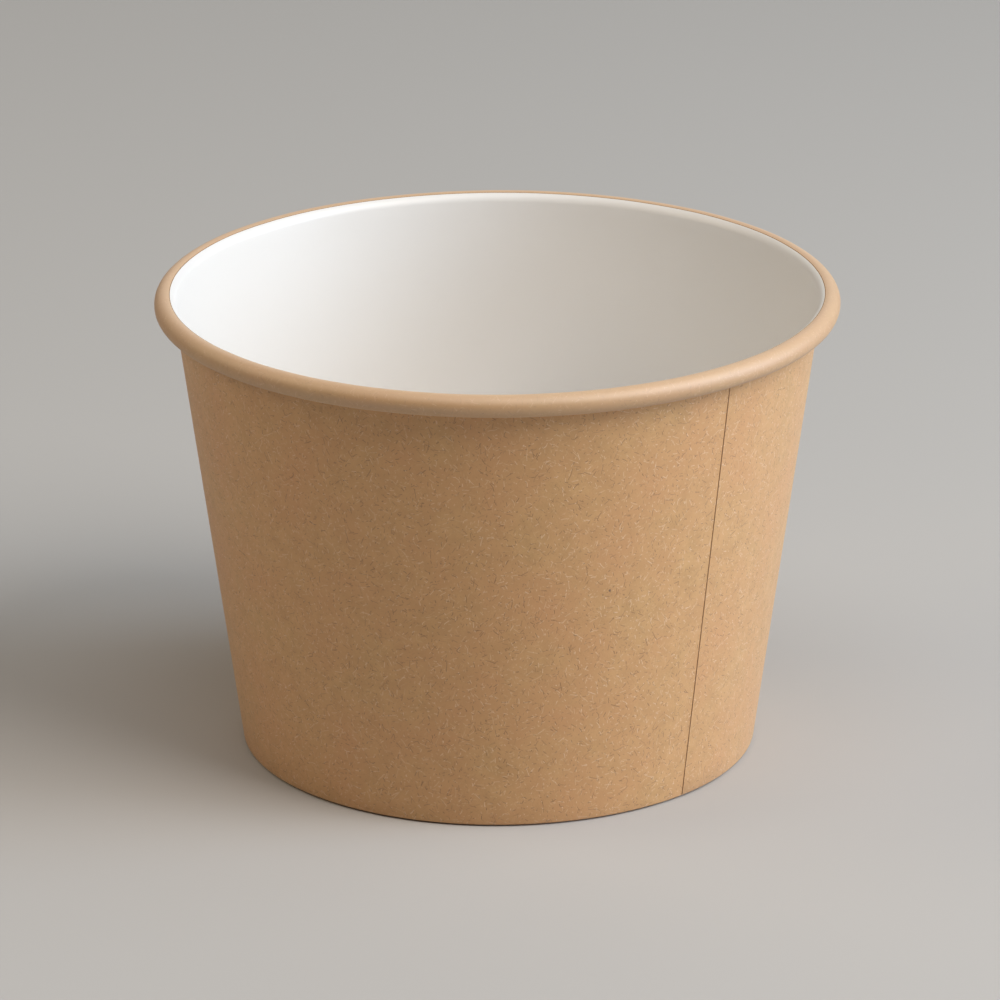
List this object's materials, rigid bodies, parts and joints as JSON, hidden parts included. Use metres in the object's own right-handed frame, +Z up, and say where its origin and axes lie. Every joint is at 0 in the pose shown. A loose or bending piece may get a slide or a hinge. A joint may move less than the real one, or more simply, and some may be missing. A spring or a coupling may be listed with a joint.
{
  "type": "paper soup bowl",
  "caption": "Round kraft paper soup bowl, white inside, with a rolled rim, a glued side seam and a recessed base.",
  "frame": {"origin": "centre of the foot, on the surface that the bowl stands on", "axes": "+Z up along the bowl's axis, -Y towards the picture's camera, +X to its right; the side seam is at 45.8 degrees from +X towards -Y"},
  "size_m": [0.115, 0.115, 0.0794],
  "materials": {
    "kraft_board": "matt brown kraft board outside, white satin coating inside",
    "base_board": "white satin coating above, matt brown kraft board below"
  },
  "bodies": {
    "root": {"side_wall": "kraft_board", "base_disc": "base_board"}
  },
  "joints": []
}
